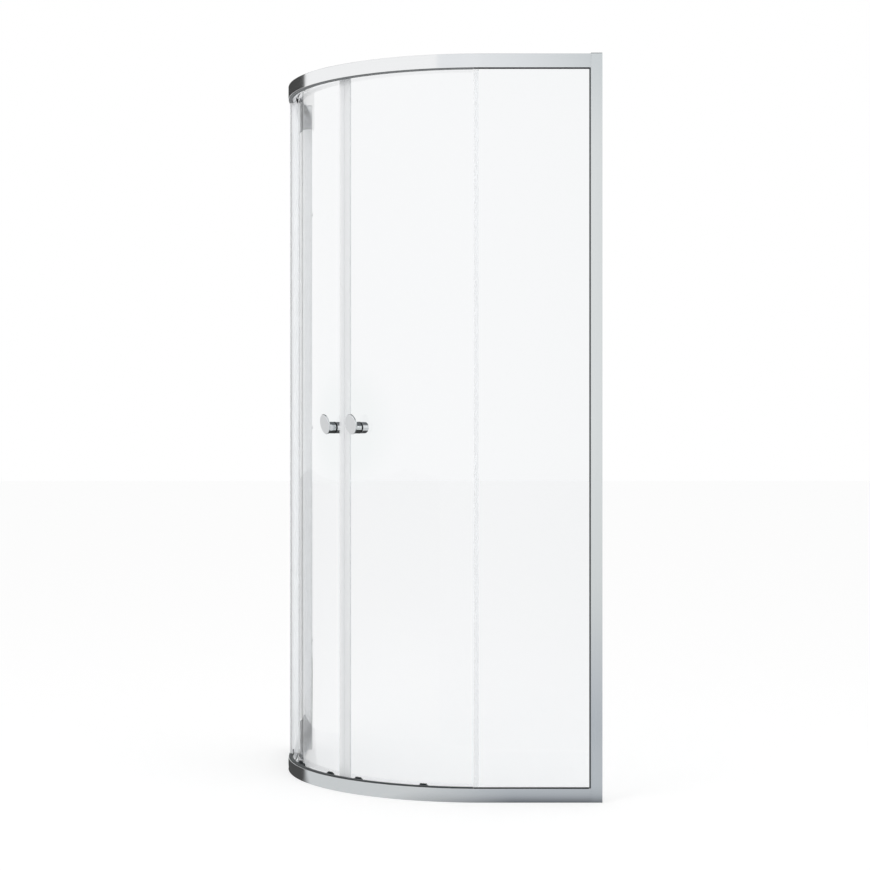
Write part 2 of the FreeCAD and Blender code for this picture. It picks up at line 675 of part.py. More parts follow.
def top_roller_cap(angle):
    """Round cap with a key hole, which clamps the hub from inside the shower."""
    face = DOOR_GLASS_T + GLASS + GLASS_RING
    end = face + CAP_HEIGHT
    key_radius, key_depth = CAP_KEY
    cap = local_disc(CAP_RADIUS + CAP_RIM, (face, end), TOP_WHEEL_Z)
    bore = local_disc(
        THREAD_RADIUS + THREAD_FIT, (face - OVERSHOOT, face + CAP_BORE_DEPTH), TOP_WHEEL_Z)
    key = local_disc(key_radius, (end - key_depth, end + OVERSHOOT), TOP_WHEEL_Z)
    return on_door(cap.cut(bore).cut(key), angle)


def wheel(radius, width, axle, t_start, z, angle):
    """Wheel with a shallow recess between rim and hub on both faces."""
    end = t_start + width
    bore = axle + RUNNING_FIT
    disc = local_disc(radius, (t_start, end), z)
    disc = disc.makeChamfer(WHEEL_CHAMFER, [edge for edge in disc.Edges if edge.Length > radius * 5])
    disc = disc.cut(local_disc(bore, (t_start - OVERSHOOT, end + OVERSHOOT), z))
    faces = ((t_start - OVERSHOOT, t_start + WHEEL_RECESS), (end - WHEEL_RECESS, end + OVERSHOOT))
    for span in faces:
        groove = local_disc(radius * RIM_SHARE, span, z)
        boss = local_disc(bore + radius * BOSS_SHARE, (span[0] - OVERSHOOT, span[1] + OVERSHOOT), z)
        disc = disc.cut(groove.cut(boss))
    return on_door(disc, angle)


def top_wheel(angle):
    return wheel(TOP_WHEEL_RADIUS, TOP_WHEEL_WIDTH, TOP_AXLE, TOP_WHEEL_T, TOP_WHEEL_Z, angle)


def bottom_wheel(angle):
    return wheel(
        BOTTOM_WHEEL_RADIUS, BOTTOM_WHEEL_WIDTH, BOTTOM_AXLE, BOTTOM_WHEEL_T, BOTTOM_WHEEL_Z,
        angle)


def housing_middle():
    """Depth of the middle of the housing's cavity, where stem and spring stand."""
    return (CAVITY_T[0] + CAVITY_T[1]) / 2


def upright_rod(radius, z_span):
    """A round rod at angle zero, upright in the middle of the housing."""
    start = (0, housing_middle() - CURVE_RADIUS, z_span[0])
    return cylinder(radius, z_span[1] - z_span[0], start, (0, 0, 1))


def bottom_housing(angle):
    """Rounded housing on the outer face of the glass, open below for the slider."""
    inner = DOOR_GLASS_T - GLASS_RING
    below = HOUSING_BOTTOM - OVERSHOOT
    body = local_box(HOUSING_WIDTH, (HOUSING_OUTER, inner), (HOUSING_BOTTOM, HOUSING_TOP))
    shoulders = [edge for edge in body.Edges
                 if edge.BoundBox.ZMin > HOUSING_TOP - 0.1 and edge.BoundBox.XLength < 0.1]
    body = body.makeFillet(HOUSING_SHOULDER, shoulders)
    cavity = local_box(CAVITY_WIDTH, CAVITY_T, (below, CAVITY_TOP))
    slot = local_box(
        SLOT_WIDTH, (HOUSING_OUTER - OVERSHOOT, CAVITY_T[0] + OVERLAP), (below, SLOT_TOP))
    bore = local_disc(
        THREAD_RADIUS + THREAD_FIT, (CAVITY_T[1] - OVERSHOOT, inner + OVERSHOOT), HOUSING_SCREW_Z)
    stem_hole = upright_rod(
        STEM_RADIUS + SLIDER_PLAY, (CAVITY_TOP - OVERSHOOT, HOUSING_TOP + OVERSHOOT))
    return on_door(body.cut(cavity).cut(slot).cut(bore).cut(stem_hole), angle)


def bottom_cap(angle):
    """Cap and screw that hold a bottom housing to the glass from inside the shower."""
    head_start = DOOR_GLASS_T + GLASS + GLASS_RING
    head = local_disc(CAP_RADIUS - CAP_RIM, (head_start, head_start + CAP_HEIGHT), HOUSING_SCREW_Z)
    shank = local_disc(
        THREAD_RADIUS, (CAVITY_T[1] + THREAD_FIT, head_start + OVERLAP), HOUSING_SCREW_Z)
    return on_door(joined([head, shank]), angle)


def pull(z):
    """Oblong head, at angle zero, that lifts the slider."""
    middle = housing_middle()
    depth = (middle - PULL_DEPTH / 2, middle + PULL_DEPTH / 2)
    head = local_box(PULL_WIDTH, depth, (z, z + PULL_HEIGHT))
    corners = [edge for edge in head.Edges if edge.BoundBox.ZLength > PULL_HEIGHT / 2]
    return head.makeFillet(PULL_ROUNDING, corners)


def bottom_slider(angle):
    """Sprung carrier of the bottom wheel, with a stem and a pull to lift it clear of the rail."""
    block_t = (CAVITY_T[0] + SLIDER_PLAY, CAVITY_T[1] - SLIDER_PLAY)
    leg_start = BOTTOM_WHEEL_T + BOTTOM_WHEEL_WIDTH + AXLE_HEAD_GAP
    head_end = BOTTOM_WHEEL_T - AXLE_HEAD_GAP
    head_radius, head_thickness = BOTTOM_AXLE_HEAD
    pull_z = HOUSING_TOP + SLIDER_PLAY
    slider = joined([
        local_box(SLIDER_WIDTH, block_t, (SLIDER_BOTTOM, SLIDER_TOP)),
        local_box(LEG_WIDTH, (leg_start, block_t[1]),
                  (BOTTOM_WHEEL_Z - LEG_DROP, SLIDER_TOP - OVERLAP)),
        local_disc(BOTTOM_AXLE, (head_end - head_thickness / 2, leg_start + OVERLAP),
                   BOTTOM_WHEEL_Z),
        local_disc(head_radius, (head_end - head_thickness, head_end), BOTTOM_WHEEL_Z),
        upright_rod(STEM_RADIUS, (SLIDER_TOP - OVERLAP, pull_z + PULL_HEIGHT / 2)),
        pull(pull_z),
    ])
    return on_door(slider, angle)


def bottom_spring(angle):
    """Coil spring between the slider and the roof of the housing."""
    end_gap = SPRING_WIRE + SPRING_GAP
    height = CAVITY_TOP - SLIDER_TOP - 2 * end_gap
    helix = Part.makeHelix(height / SPRING_TURNS, height, SPRING_RADIUS)
    section = Part.Circle(
        FreeCAD.Vector(SPRING_RADIUS, 0, 0), FreeCAD.Vector(0, 1, 0), SPRING_WIRE).toShape()
    coil = Part.Wire(helix.Edges).makePipeShell([Part.Wire([section])], True, True)
    coil.translate(FreeCAD.Vector(0, housing_middle() - CURVE_RADIUS, SLIDER_TOP + end_gap))
    return on_door(coil, angle)


def save(name, solids):
    """Write one node. A group of identical pieces is a list."""
    shape = Part.makeCompound(solids) if isinstance(solids, list) else solids
    shape.exportStep("parts/" + name + ".step")


def both_sides(name, solids):
    """Write a piece of the right half and its mirror image."""
    if isinstance(solids, list):
        save(name + "_right", solids)
        save(name + "_left", [mirrored(solid) for solid in solids])
    else:
        save(name + "_right", solids)
        save(name + "_left", mirrored(solids))


def pair(solid):
    """A piece and its mirror image, as one group."""
    return [solid, mirrored(solid)]


def build_frame():
    save("top_rail", top_rail())
    save("bottom_rail", bottom_rail())
    save("top_rail_gaskets", pair(rail_gasket(True)))
    save("bottom_rail_gaskets", pair(rail_gasket(False)))
    save("top_groove_strip", groove_strip(True))
    save("bottom_groove_strip", groove_strip(False))
    save("profile_caps", pair(profile_cap()))
    save("door_stops", pair(door_stop()))
    both_sides("wall_profile", wall_profile())
    both_sides("jamb_profile", jamb_profile())
    both_sides("fixed_glass", fixed_glass())
    both_sides("jamb_gasket", jamb_gasket())
    both_sides("fixed_edge_seal", fixed_edge_seal())
    screws = rail_end_screws()
    save("rail_end_screws", screws + [mirrored(screw) for screw in screws])
    screws = jamb_screws()
    save("jamb_screws", screws + [mirrored(screw) for screw in screws])


def build_doors():
    both_sides("door_glass", door_glass())
    both_sides("magnetic_seal", magnetic_seal())
    both_sides("magnet_strip", magnet_strip())
    both_sides("trailing_seal", trailing_seal())
    save("outer_handle_right", outer_handle(HANDLE_ANGLE))
    save("outer_handle_left", outer_handle(90 - HANDLE_ANGLE))
    both_sides("inner_knob", inner_knob())
    both_sides("handle_stud", handle_stud())
    both_sides("glass_rings", glass_rings())
    angles = ROLLER_ANGLES.values()
    both_sides("top_roller_hubs", [top_roller_hub(angle) for angle in angles])
    both_sides("top_roller_caps", [top_roller_cap(angle) for angle in angles])
    both_sides("bottom_roller_housings", [bottom_housing(angle) for angle in angles])
    both_sides("bottom_roller_caps", [bottom_cap(angle) for angle in angles])
    for place, angle in ROLLER_ANGLES.items():
        both_sides("top_wheel_" + place, top_wheel(angle))
        both_sides("bottom_wheel_" + place, bottom_wheel(angle))
        both_sides("bottom_slider_" + place, bottom_slider(angle))
        both_sides("bottom_spring_" + place, bottom_spring(angle))


os.makedirs("parts", exist_ok=True)
build_frame()
build_doors()
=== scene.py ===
# %% [markdown]
# # A quadrant shower enclosure in cells
# The enclosure stands in a corner of a bathroom: two upright profiles on the walls, a rail at
# the top and one at the bottom that follow a quarter curve, two flat panes, and two curved
# sliding doors on rollers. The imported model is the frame: it says where each piece is and what
# it moves with. These cells give the pieces their rounded edges, their finishes and their light.

# %% Open the frame
import json
import math

import bmesh
import bpy
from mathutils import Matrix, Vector

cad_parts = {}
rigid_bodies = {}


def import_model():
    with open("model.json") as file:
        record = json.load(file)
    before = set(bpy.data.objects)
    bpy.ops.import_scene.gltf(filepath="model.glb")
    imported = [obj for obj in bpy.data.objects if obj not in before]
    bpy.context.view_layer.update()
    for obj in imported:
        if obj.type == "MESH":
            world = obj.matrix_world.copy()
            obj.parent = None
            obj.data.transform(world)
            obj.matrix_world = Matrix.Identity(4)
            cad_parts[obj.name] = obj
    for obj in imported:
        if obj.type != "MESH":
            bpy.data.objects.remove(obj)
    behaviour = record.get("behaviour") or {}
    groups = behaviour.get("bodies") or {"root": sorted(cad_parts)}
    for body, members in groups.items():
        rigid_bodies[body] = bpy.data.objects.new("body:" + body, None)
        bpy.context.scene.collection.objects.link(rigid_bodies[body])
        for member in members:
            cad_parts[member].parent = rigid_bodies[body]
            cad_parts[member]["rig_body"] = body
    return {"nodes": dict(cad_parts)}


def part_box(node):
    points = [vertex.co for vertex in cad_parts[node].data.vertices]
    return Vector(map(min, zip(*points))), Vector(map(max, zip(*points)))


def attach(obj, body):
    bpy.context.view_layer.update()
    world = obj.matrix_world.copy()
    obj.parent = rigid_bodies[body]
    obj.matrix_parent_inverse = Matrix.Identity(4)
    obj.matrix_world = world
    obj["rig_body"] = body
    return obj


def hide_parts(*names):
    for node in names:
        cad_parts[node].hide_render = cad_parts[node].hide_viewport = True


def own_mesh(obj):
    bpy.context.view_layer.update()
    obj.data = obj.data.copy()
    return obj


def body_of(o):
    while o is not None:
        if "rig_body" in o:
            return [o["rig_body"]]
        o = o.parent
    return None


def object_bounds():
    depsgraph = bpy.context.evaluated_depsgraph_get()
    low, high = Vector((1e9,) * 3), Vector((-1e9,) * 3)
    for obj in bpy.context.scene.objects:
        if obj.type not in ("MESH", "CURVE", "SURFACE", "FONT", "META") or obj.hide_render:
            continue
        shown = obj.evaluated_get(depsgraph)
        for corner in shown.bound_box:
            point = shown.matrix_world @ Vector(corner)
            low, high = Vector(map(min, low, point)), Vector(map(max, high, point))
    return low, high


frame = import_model()
cad_low, cad_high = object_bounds()
nodes = frame["nodes"]
print("nodes:", len(nodes), "size in mm:", [round((b - a) * 1000) for a, b in zip(cad_low, cad_high)])

# %% [markdown]
# ## Sizes that the rest is worked out from
# The plan is a square with one corner rounded to a quarter circle, a standard tray shape. The
# width and height are read from the frame. The middle of the curve lies where the two flat
# sides start to bend.

# %% Driving sizes in metres
HALF = cad_high.x
HEIGHT = cad_high.z
CURVE_RADIUS = 0.550
CURVE_CENTRE = CURVE_RADIUS - HALF
rail_low, rail_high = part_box("top_rail")
PROFILE_TOP = rail_high.z
RAIL_HEIGHT = rail_high.z - rail_low.z
RAIL_END = rail_high.x
print("curve centre", round(CURVE_CENTRE, 3), "rail height", round(RAIL_HEIGHT, 3))

# %% [markdown]
# ## Two small helpers
# A colour is given as an sRGB hex code, and a shader wants linear light, so one function
# turns one into the other. Another adds a node with its settings, values and links, for
# shader trees and geometry trees alike. A colour mix has several sockets of the same name, so
# its own go by number.

# %% Colour and node helpers
MIX_A = 6
MIX_B = 7
MIX_RESULT = 2


def linear(code):
    """Linear colour of an sRGB hex code."""
    parts = [int(code[at:at + 2], 16) / 255 for at in (1, 3, 5)]
    return (*[p / 12.92 if p <= 0.04045 else ((p + 0.055) / 1.055) ** 2.4 for p in parts], 1.0)


def add(tree, kind, values=None, links=None, stops=(), **settings):
    """One node, with its settings, the values of its sockets and what is linked to them.

    A colour ramp also takes its stops, as (place, tone).
    """
    node = tree.nodes.new(kind)
    for name, value in settings.items():
        setattr(node, name, value)
    for at, (place, tone) in enumerate(stops):
        ramp = node.color_ramp.elements
        stop = ramp[at] if at < len(ramp) else ramp.new(place)
        stop.position = place
        stop.color = linear(tone)
    for name, value in (values or {}).items():
        node.inputs[name].default_value = value
    for name, socket in (links or {}).items():
        tree.links.new(socket, node.inputs[name])
    return node


# %% [markdown]
# ## The camera
# The flat side of the enclosure is seen square on from about five metres, at half its height,
# so the uprights stay parallel and the rails stay level. A long lens from that distance gives
# the photograph's weak perspective. The image is 870 pixels square, and a small shift brings
# the optical axis to its place in the frame.

# %% Camera
IMAGE = 870
AXIS_PIXEL = (450.0, 427.6)
FOCAL_PIXELS = 1937.7
SENSOR = 36.0
VIEW_FROM = (0.0337, -5.466)

camera_data = bpy.data.cameras.new("camera")
camera_data.sensor_width = SENSOR
camera_data.lens = FOCAL_PIXELS * SENSOR / IMAGE
camera_data.shift_x = (IMAGE / 2 - AXIS_PIXEL[0]) / IMAGE
camera_data.shift_y = (AXIS_PIXEL[1] - IMAGE / 2) / IMAGE
camera = bpy.data.objects.new("camera", camera_data)
camera.location = (*VIEW_FROM, HEIGHT / 2)
camera.rotation_euler = (math.radians(90), 0, 0)
bpy.context.scene.collection.objects.link(camera)
bpy.context.scene.camera = camera
print("lens", round(camera_data.lens, 2), "mm")

# %% [markdown]
# ## The floor and the white room
# The enclosure is shown on plain white. The floor is white paint that still takes a soft
# shadow: a little light of its own, only for rays from the camera, from metal and through
# glass, lifts it to white where no shadow falls. The world does the same above it, and is
# dimmer for what lights the pieces, so that pale plastics keep their shading. For metal the
# room is unlit overhead and high at the back, which draws the dark lines along round chrome.

# %% Floor and world
FLOOR_GLOW = 0.44
FLOOR_GLOW_IN_METAL = 0.22
ROOM_LIGHT = 0.76

scene = bpy.context.scene
scene.view_settings.view_transform = "Standard"

floor_mesh = bpy.data.meshes.new("floor")
REACH = 30.0
FLOOR_DROP = 0.0004
floor_mesh.from_pydata(
    [(-REACH, -REACH, -FLOOR_DROP), (REACH, -REACH, -FLOOR_DROP),
     (REACH, REACH, -FLOOR_DROP), (-REACH, REACH, -FLOOR_DROP)], [], [(0, 1, 2, 3)])
floor = bpy.data.objects.new("floor", floor_mesh)
scene.collection.objects.link(floor)

paint = bpy.data.materials.new("matt_white_floor_paint")
paint.use_nodes = True
tree = paint.node_tree
tree.nodes.clear()
rays = add(tree, "ShaderNodeLightPath")
seen = add(tree, "ShaderNodeMath", links={0: rays.outputs["Is Camera Ray"],
                                          1: rays.outputs["Is Transmission Ray"]},
           operation="MAXIMUM")
shown = add(tree, "ShaderNodeMath", {1: FLOOR_GLOW}, {0: seen.outputs[0]}, operation="MULTIPLY")
in_metal = add(tree, "ShaderNodeMath", {1: FLOOR_GLOW_IN_METAL},
               {0: rays.outputs["Is Glossy Ray"]}, operation="MULTIPLY")
own_light = add(tree, "ShaderNodeMath", links={0: shown.outputs[0], 1: in_metal.outputs[0]},
                operation="MAXIMUM")
matt = add(tree, "ShaderNodeBsdfDiffuse", {"Color": linear("#DADADA")})
glow = add(tree, "ShaderNodeEmission", {"Color": linear("#FFFFFF")},
           {"Strength": own_light.outputs[0]})
both = add(tree, "ShaderNodeAddShader", links={0: matt.outputs[0], 1: glow.outputs[0]})
add(tree, "ShaderNodeOutputMaterial", links={"Surface": both.outputs[0]})
floor_mesh.materials.append(paint)

world = bpy.data.worlds.new("white_room")
world.use_nodes = True
scene.world = world
tree = world.node_tree
tree.nodes.clear()
rays = add(tree, "ShaderNodeLightPath")
seen = add(tree, "ShaderNodeMath", links={0: rays.outputs["Is Camera Ray"],
                                          1: rays.outputs["Is Transmission Ray"]},
           operation="MAXIMUM")
direction = add(tree, "ShaderNodeTexCoord")
axes = add(tree, "ShaderNodeSeparateXYZ", links={0: direction.outputs["Generated"]})
above = add(tree, "ShaderNodeMapRange", {"From Min": 0.24, "From Max": 0.44},
            {"Value": axes.outputs["Z"]}, interpolation_type="SMOOTHSTEP")
behind = add(tree, "ShaderNodeMapRange", {"From Min": -0.15, "From Max": 0.10},
             {"Value": axes.outputs["Y"]}, interpolation_type="SMOOTHSTEP")
overhead = add(tree, "ShaderNodeMapRange", {"From Min": 0.70, "From Max": 0.90},
               {"Value": axes.outputs["Z"]}, interpolation_type="SMOOTHSTEP")
upper_back = add(tree, "ShaderNodeMath", links={0: above.outputs[0], 1: behind.outputs[0]},
                 operation="MINIMUM")
unlit = add(tree, "ShaderNodeMath", links={0: upper_back.outputs[0], 1: overhead.outputs[0]},
            operation="MAXIMUM")
room = add(tree, "ShaderNodeMix", {MIX_A: linear("#FFFFFF"), MIX_B: linear("#727476")},
           {"Factor": unlit.outputs[0]}, data_type="RGBA")
ambient = add(tree, "ShaderNodeBackground", {"Color": linear("#FFFFFF"), "Strength": ROOM_LIGHT})
mirrored_room = add(tree, "ShaderNodeBackground", {"Strength": 1.0}, {"Color": room.outputs[MIX_RESULT]})
white = add(tree, "ShaderNodeBackground", {"Color": linear("#FFFFFF"), "Strength": 1.0})
dim = add(tree, "ShaderNodeMixShader", links={0: rays.outputs["Is Glossy Ray"],
                                              1: ambient.outputs[0],
                                              2: mirrored_room.outputs[0]})
shown = add(tree, "ShaderNodeMixShader", links={0: seen.outputs[0], 1: dim.outputs[0],
                                                2: white.outputs[0]})
add(tree, "ShaderNodeOutputWorld", links={"Surface": shown.outputs[0]})

# %% [markdown]
# ## Soft lamps
# A wide lamp high in front on the left gives the profiles and handles a light side, and a
# weaker one on the right keeps the other side open.

# %% Lamps
def soft_lamp(name, place, target, size, power):
    """A square area lamp that faces a point."""
    data = bpy.data.lights.new(name, "AREA")
    data.size = size
    data.energy = power
    lamp = bpy.data.objects.new(name, data)
    lamp.location = place
    lamp.rotation_euler = (Vector(target) - Vector(place)).to_track_quat("-Z", "Y").to_euler()
    scene.collection.objects.link(lamp)
    lamp.visible_camera = False
    lamp.visible_glossy = False
    lamp.visible_transmission = False


AIM = (0, 0, 0.9)
soft_lamp("wide_lamp_left", (-2.6, -3.4, 3.2), AIM, size=2.4, power=26)
soft_lamp("wide_lamp_right", (3.0, -2.4, 2.4), AIM, size=2.0, power=10)

# %% [markdown]
# ## Cards that only metal sees
# Bright metal has hardly a colour of its own: it shows the room. In the photograph the rails
# turn dark at their far left end, the flat side falls off softly to the right and towards the
# floor, and the handles are dark above and below. A few cards paint these reflections in:
# they light nothing and cast no shadow, and only mirror rays meet them. A dark one high behind
# the left end is a painted dark reflection, dark ones on the floor behind and beside its foot
# are painted shade, a grey one on the floor in front has painted shade near the foot, and a
# scrim in front of the flat side, whose tone runs from white to grey, paints the fall-off.

# %% Cards
def card(name, corners, finish):
    """A flat stage piece that only glossy rays see: a painted reflection."""
    mesh = bpy.data.meshes.new(name)
    mesh.from_pydata(corners, [], [tuple(range(len(corners)))])
    mesh.materials.append(finish)
    made = bpy.data.objects.new(name, mesh)
    scene.collection.objects.link(made)
    for ray in ("camera", "diffuse", "transmission", "shadow", "volume_scatter"):
        setattr(made, "visible_" + ray, False)


def card_finish(name):
    """A material for a card: light of its own, so that no lamp changes it."""
    finish = bpy.data.materials.new(name)
    finish.use_nodes = True
    finish.node_tree.nodes.clear()
    glow = add(finish.node_tree, "ShaderNodeEmission")
    add(finish.node_tree, "ShaderNodeOutputMaterial", links={"Surface": glow.outputs[0]})
    return finish, finish.node_tree, glow


# Painted dark reflection: a dark grey that only metal mirrors, high behind the left end and on the floor
# behind the foot.
painted_dark_reflection, tree, glow = card_finish("painted_dark_reflection")
glow.inputs["Color"].default_value = linear("#474747")
card("card_high", [(-1.94, 1.10, 2.10), (-0.55, 2.30, 2.10), (-0.55, 2.30, 3.40),
                   (-1.94, 1.10, 3.40)], painted_dark_reflection)
ON_FLOOR = 0.0002
# The grey of the floor as the metal mirrors it: a painted reflection.
FLOOR_REFLECTION_GREY = "#D3D6D7"
card("card_floor_back", [(x, y, ON_FLOOR) for x, y in (
    (0.06, 0.02), (0.52, -0.22), (1.60, -0.22), (1.60, 2.80), (-0.30, 2.80), (-0.30, 0.90))],
     painted_dark_reflection)

# The dark card beside the rail's foot is painted shade, seen only in the metal. It has a soft
# edge, which runs out from the rail at the place where its metal turns dark.
EDGE_START = (-0.366, -0.138)
EDGE_ALONG = (-0.786, 0.618)
edge_shade_reflection, tree, glow = card_finish("painted_shade_floor_edge")
place = add(tree, "ShaderNodeTexCoord")
from_edge = add(tree, "ShaderNodeVectorMath", {1: (*EDGE_START, 0.0)},
                {0: place.outputs["Object"]}, operation="SUBTRACT")
across_edge = add(tree, "ShaderNodeVectorMath", {1: (-EDGE_ALONG[1], EDGE_ALONG[0], 0.0)},
                  {0: from_edge.outputs[0]}, operation="DOT_PRODUCT")
fade = add(tree, "ShaderNodeMapRange", {"From Min": -0.012, "From Max": 0.022},
           {"Value": across_edge.outputs["Value"]}, interpolation_type="SMOOTHSTEP")
edge_tone = add(tree, "ShaderNodeMix", {MIX_A: linear("#4C4C4C"), MIX_B: linear(FLOOR_REFLECTION_GREY)},
                {"Factor": fade.outputs[0]}, data_type="RGBA")
tree.links.new(edge_tone.outputs[MIX_RESULT], glow.inputs["Color"])
card("card_floor_left", [(x, y, ON_FLOOR) for x, y in (
    (-0.350, -0.150), (-0.420, -0.200), (-1.097, 0.387), (-1.073, 0.90), (-0.436, 0.90),
    (-0.436, 0.10))], edge_shade_reflection)

# In front, the floor close to the rail as the metal mirrors it: an even grey, with painted shade
# darker towards the flat side's foot.
front_floor_reflection, tree, glow = card_finish("painted_floor_reflection_front")
place = add(tree, "ShaderNodeTexCoord")
axes = add(tree, "ShaderNodeSeparateXYZ", links={0: place.outputs["Object"]})
near = add(tree, "ShaderNodeMapRange", {"From Min": -0.43, "From Max": -0.65},
           {"Value": axes.outputs["Y"]})
flat_side = add(tree, "ShaderNodeMapRange", {"From Min": -0.16, "From Max": 0.20},
                {"Value": axes.outputs["X"]})
painted_foot_shade = add(tree, "ShaderNodeValToRGB", links={0: near.outputs[0]}, stops=(
    (0.0, "#686B70"), (0.12, "#7C8085"), (0.45, "#ACB1B6"), (1.0, "#BEC3C8")))
floor_reflection_tone = add(tree, "ShaderNodeMix", {MIX_A: linear(FLOOR_REFLECTION_GREY)},
                 {"Factor": flat_side.outputs[0], MIX_B: painted_foot_shade.outputs[0]},
                 data_type="RGBA")
tree.links.new(floor_reflection_tone.outputs[MIX_RESULT], glow.inputs["Color"])
card("card_floor_front", [(x, y, ON_FLOOR) for x, y in (
    (-0.350, -0.150), (-0.420, -0.200), (-1.097, 0.387), (-1.30, -0.50), (-0.60, -1.20),
    (0.90, -1.20), (0.90, -0.40), (0.10, -0.40))], front_floor_reflection)

# The scrim is a painted reflection: it turns grey to the right, and painted shade darkens its
# foot and top.
SCRIM_Y = -1.25
scrim_reflection, tree, glow = card_finish("painted_scrim_reflection")
place = add(tree, "ShaderNodeTexCoord")
axes = add(tree, "ShaderNodeSeparateXYZ", links={0: place.outputs["Object"]})
across = add(tree, "ShaderNodeMapRange", {"From Min": 0.0, "From Max": 0.6},
             {"Value": axes.outputs["X"]})
upward = add(tree, "ShaderNodeMapRange", {"From Min": 0.0, "From Max": 2.4},
             {"Value": axes.outputs["Z"]})
side_tone = add(tree, "ShaderNodeValToRGB", links={0: across.outputs[0]}, stops=(
    (0.1, "#FFFFFF"), (0.45, "#F4F5F5"), (0.8, "#E2E5E5")))
height_tone = add(tree, "ShaderNodeValToRGB", links={0: upward.outputs[0]}, stops=(
    (0.0, "#C4C9CF"), (0.065, "#D5D7DD"), (0.2, "#F3F4F4"), (0.4, "#FFFFFF"),
    (0.78, "#FFFFFF"), (0.86, "#F0F2F4")))
tone = add(tree, "ShaderNodeMix", {"Factor": 1.0},
           {MIX_A: side_tone.outputs[0], MIX_B: height_tone.outputs[0]},
           data_type="RGBA", blend_type="MULTIPLY")
tree.links.new(tone.outputs[MIX_RESULT], glow.inputs["Color"])
card("card_scrim", [(x, SCRIM_Y, z) for x, z in (
    (-0.40, 0.0), (2.40, 0.0), (2.40, 3.0), (-0.40, 3.0))], scrim_reflection)

# %% [markdown]
# ## Finishes
# Each finish starts from one shader and gets the grain that the real surface has. A pattern's
# scale comes from a real size: one over its size in metres is the number of grains in a metre.

# %% Start of every finish
def new_finish(name, **values):
    """A material with one main shader. Socket names are written with _ for a space."""
    finish = bpy.data.materials.new(name)
    finish.use_nodes = True
    tree = finish.node_tree
    tree.nodes.clear()
    sockets = {key.replace("_", " "): value for key, value in values.items()}
    shader = add(tree, "ShaderNodeBsdfPrincipled", sockets)
    add(tree, "ShaderNodeOutputMaterial", links={"Surface": shader.outputs[0]})
    return finish, tree, shader


def per_metre(millimetres):
    """How many grains of that size lie side by side in a metre."""
    return 1000 / millimetres


def grain(tree, shader, size, squeeze, roughness, bump, tint):
    """Noise stretched along the object's axes, for roughness, bump and a faint change of colour."""
    place = add(tree, "ShaderNodeTexCoord")
    stretch = add(tree, "ShaderNodeMapping", {"Scale": squeeze}, {"Vector": place.outputs["Object"]})
    noise = add(tree, "ShaderNodeTexNoise", {"Scale": per_metre(size), "Detail": 3.0},
                {"Vector": stretch.outputs[0]})
    spread = add(tree, "ShaderNodeMapRange", {"To Min": roughness[0], "To Max": roughness[1]},
                 {"Value": noise.outputs[0]})
    tree.links.new(spread.outputs[0], shader.inputs["Roughness"])
    relief = add(tree, "ShaderNodeBump", {"Strength": bump[0], "Distance": bump[1]},
                 {"Height": noise.outputs[0]})
    tree.links.new(relief.outputs[0], shader.inputs["Normal"])
    blend = add(tree, "ShaderNodeMix", {MIX_A: linear(tint[0]), MIX_B: linear(tint[1])},
                {"Factor": noise.outputs[0]}, data_type="RGBA")
    tree.links.new(blend.outputs[MIX_RESULT], shader.inputs["Base Color"])


# %% [markdown]
# ### Bright aluminium
# The rails and uprights are extruded aluminium, brightened in a bath and clear anodised. To
# the eye that is a pale, even mirror with a soft edge, and fine straight die lines along the
# length of the extrusion. Lines in the real metal are about a tenth of a millimetre apart; they
# are drawn wider here, because that would be too fine to show.

# %% Aluminium finishes
DIE_LINE = 1.2

rail_metal, tree, shader = new_finish("bright_anodised_aluminium_rail", Metallic=1.0)
grain(tree, shader, DIE_LINE, (0.004, 0.004, 1.0), (0.10, 0.16), (0.02, 0.0001),
      ("#ECEDEE", "#F1F2F3"))

upright_metal, tree, shader = new_finish("bright_anodised_aluminium_upright", Metallic=1.0)
grain(tree, shader, DIE_LINE, (1.0, 1.0, 0.003), (0.16, 0.24), (0.02, 0.0001),
      ("#EBEDEE", "#F1F2F3"))

# %% [markdown]
# ### Toughened float glass
# The panes are clear glass of 5 mm. Its faces are almost invisible: a faint grey against the
# white room and a thin reflection at a slant. Light rays for shadows pass straight through, or
# the panes would throw the shadow of a solid board.

# %% Glass finishes
def clear_finish(name, shadow, **values):
    """A see-through material whose shadow is only as dark as the colour given for it."""
    finish, tree, shader = new_finish(name, **values)
    output = next(node for node in tree.nodes if node.type == "OUTPUT_MATERIAL")
    rays = add(tree, "ShaderNodeLightPath")
    through = add(tree, "ShaderNodeBsdfTransparent", {"Color": linear(shadow)})
    mixed = add(tree, "ShaderNodeMixShader", links={0: rays.outputs["Is Shadow Ray"],
                                                    1: shader.outputs[0], 2: through.outputs[0]})
    tree.links.new(mixed.outputs[0], output.inputs["Surface"])
    return finish, tree, shader


ROLLER_WAVE = 333


def float_glass(name):
    """Clear glass with the oven's roller waves, a third of a metre long and hardly high."""
    finish, tree, shader = clear_finish(name, "#F6F8F8", Base_Color=linear("#F7F8F9"),
                                        Roughness=0.0, IOR=1.5, Transmission_Weight=1.0)
    place = add(tree, "ShaderNodeTexCoord")
    waves = add(tree, "ShaderNodeTexNoise", {"Scale": per_metre(ROLLER_WAVE), "Detail": 1.0},
                {"Vector": place.outputs["Object"]})
    relief = add(tree, "ShaderNodeBump", {"Strength": 0.05, "Distance": 0.001},
                 {"Height": waves.outputs[0]})
    tree.links.new(relief.outputs[0], shader.inputs["Normal"])
    return finish, tree


pane_glass, _ = float_glass("toughened_float_glass")

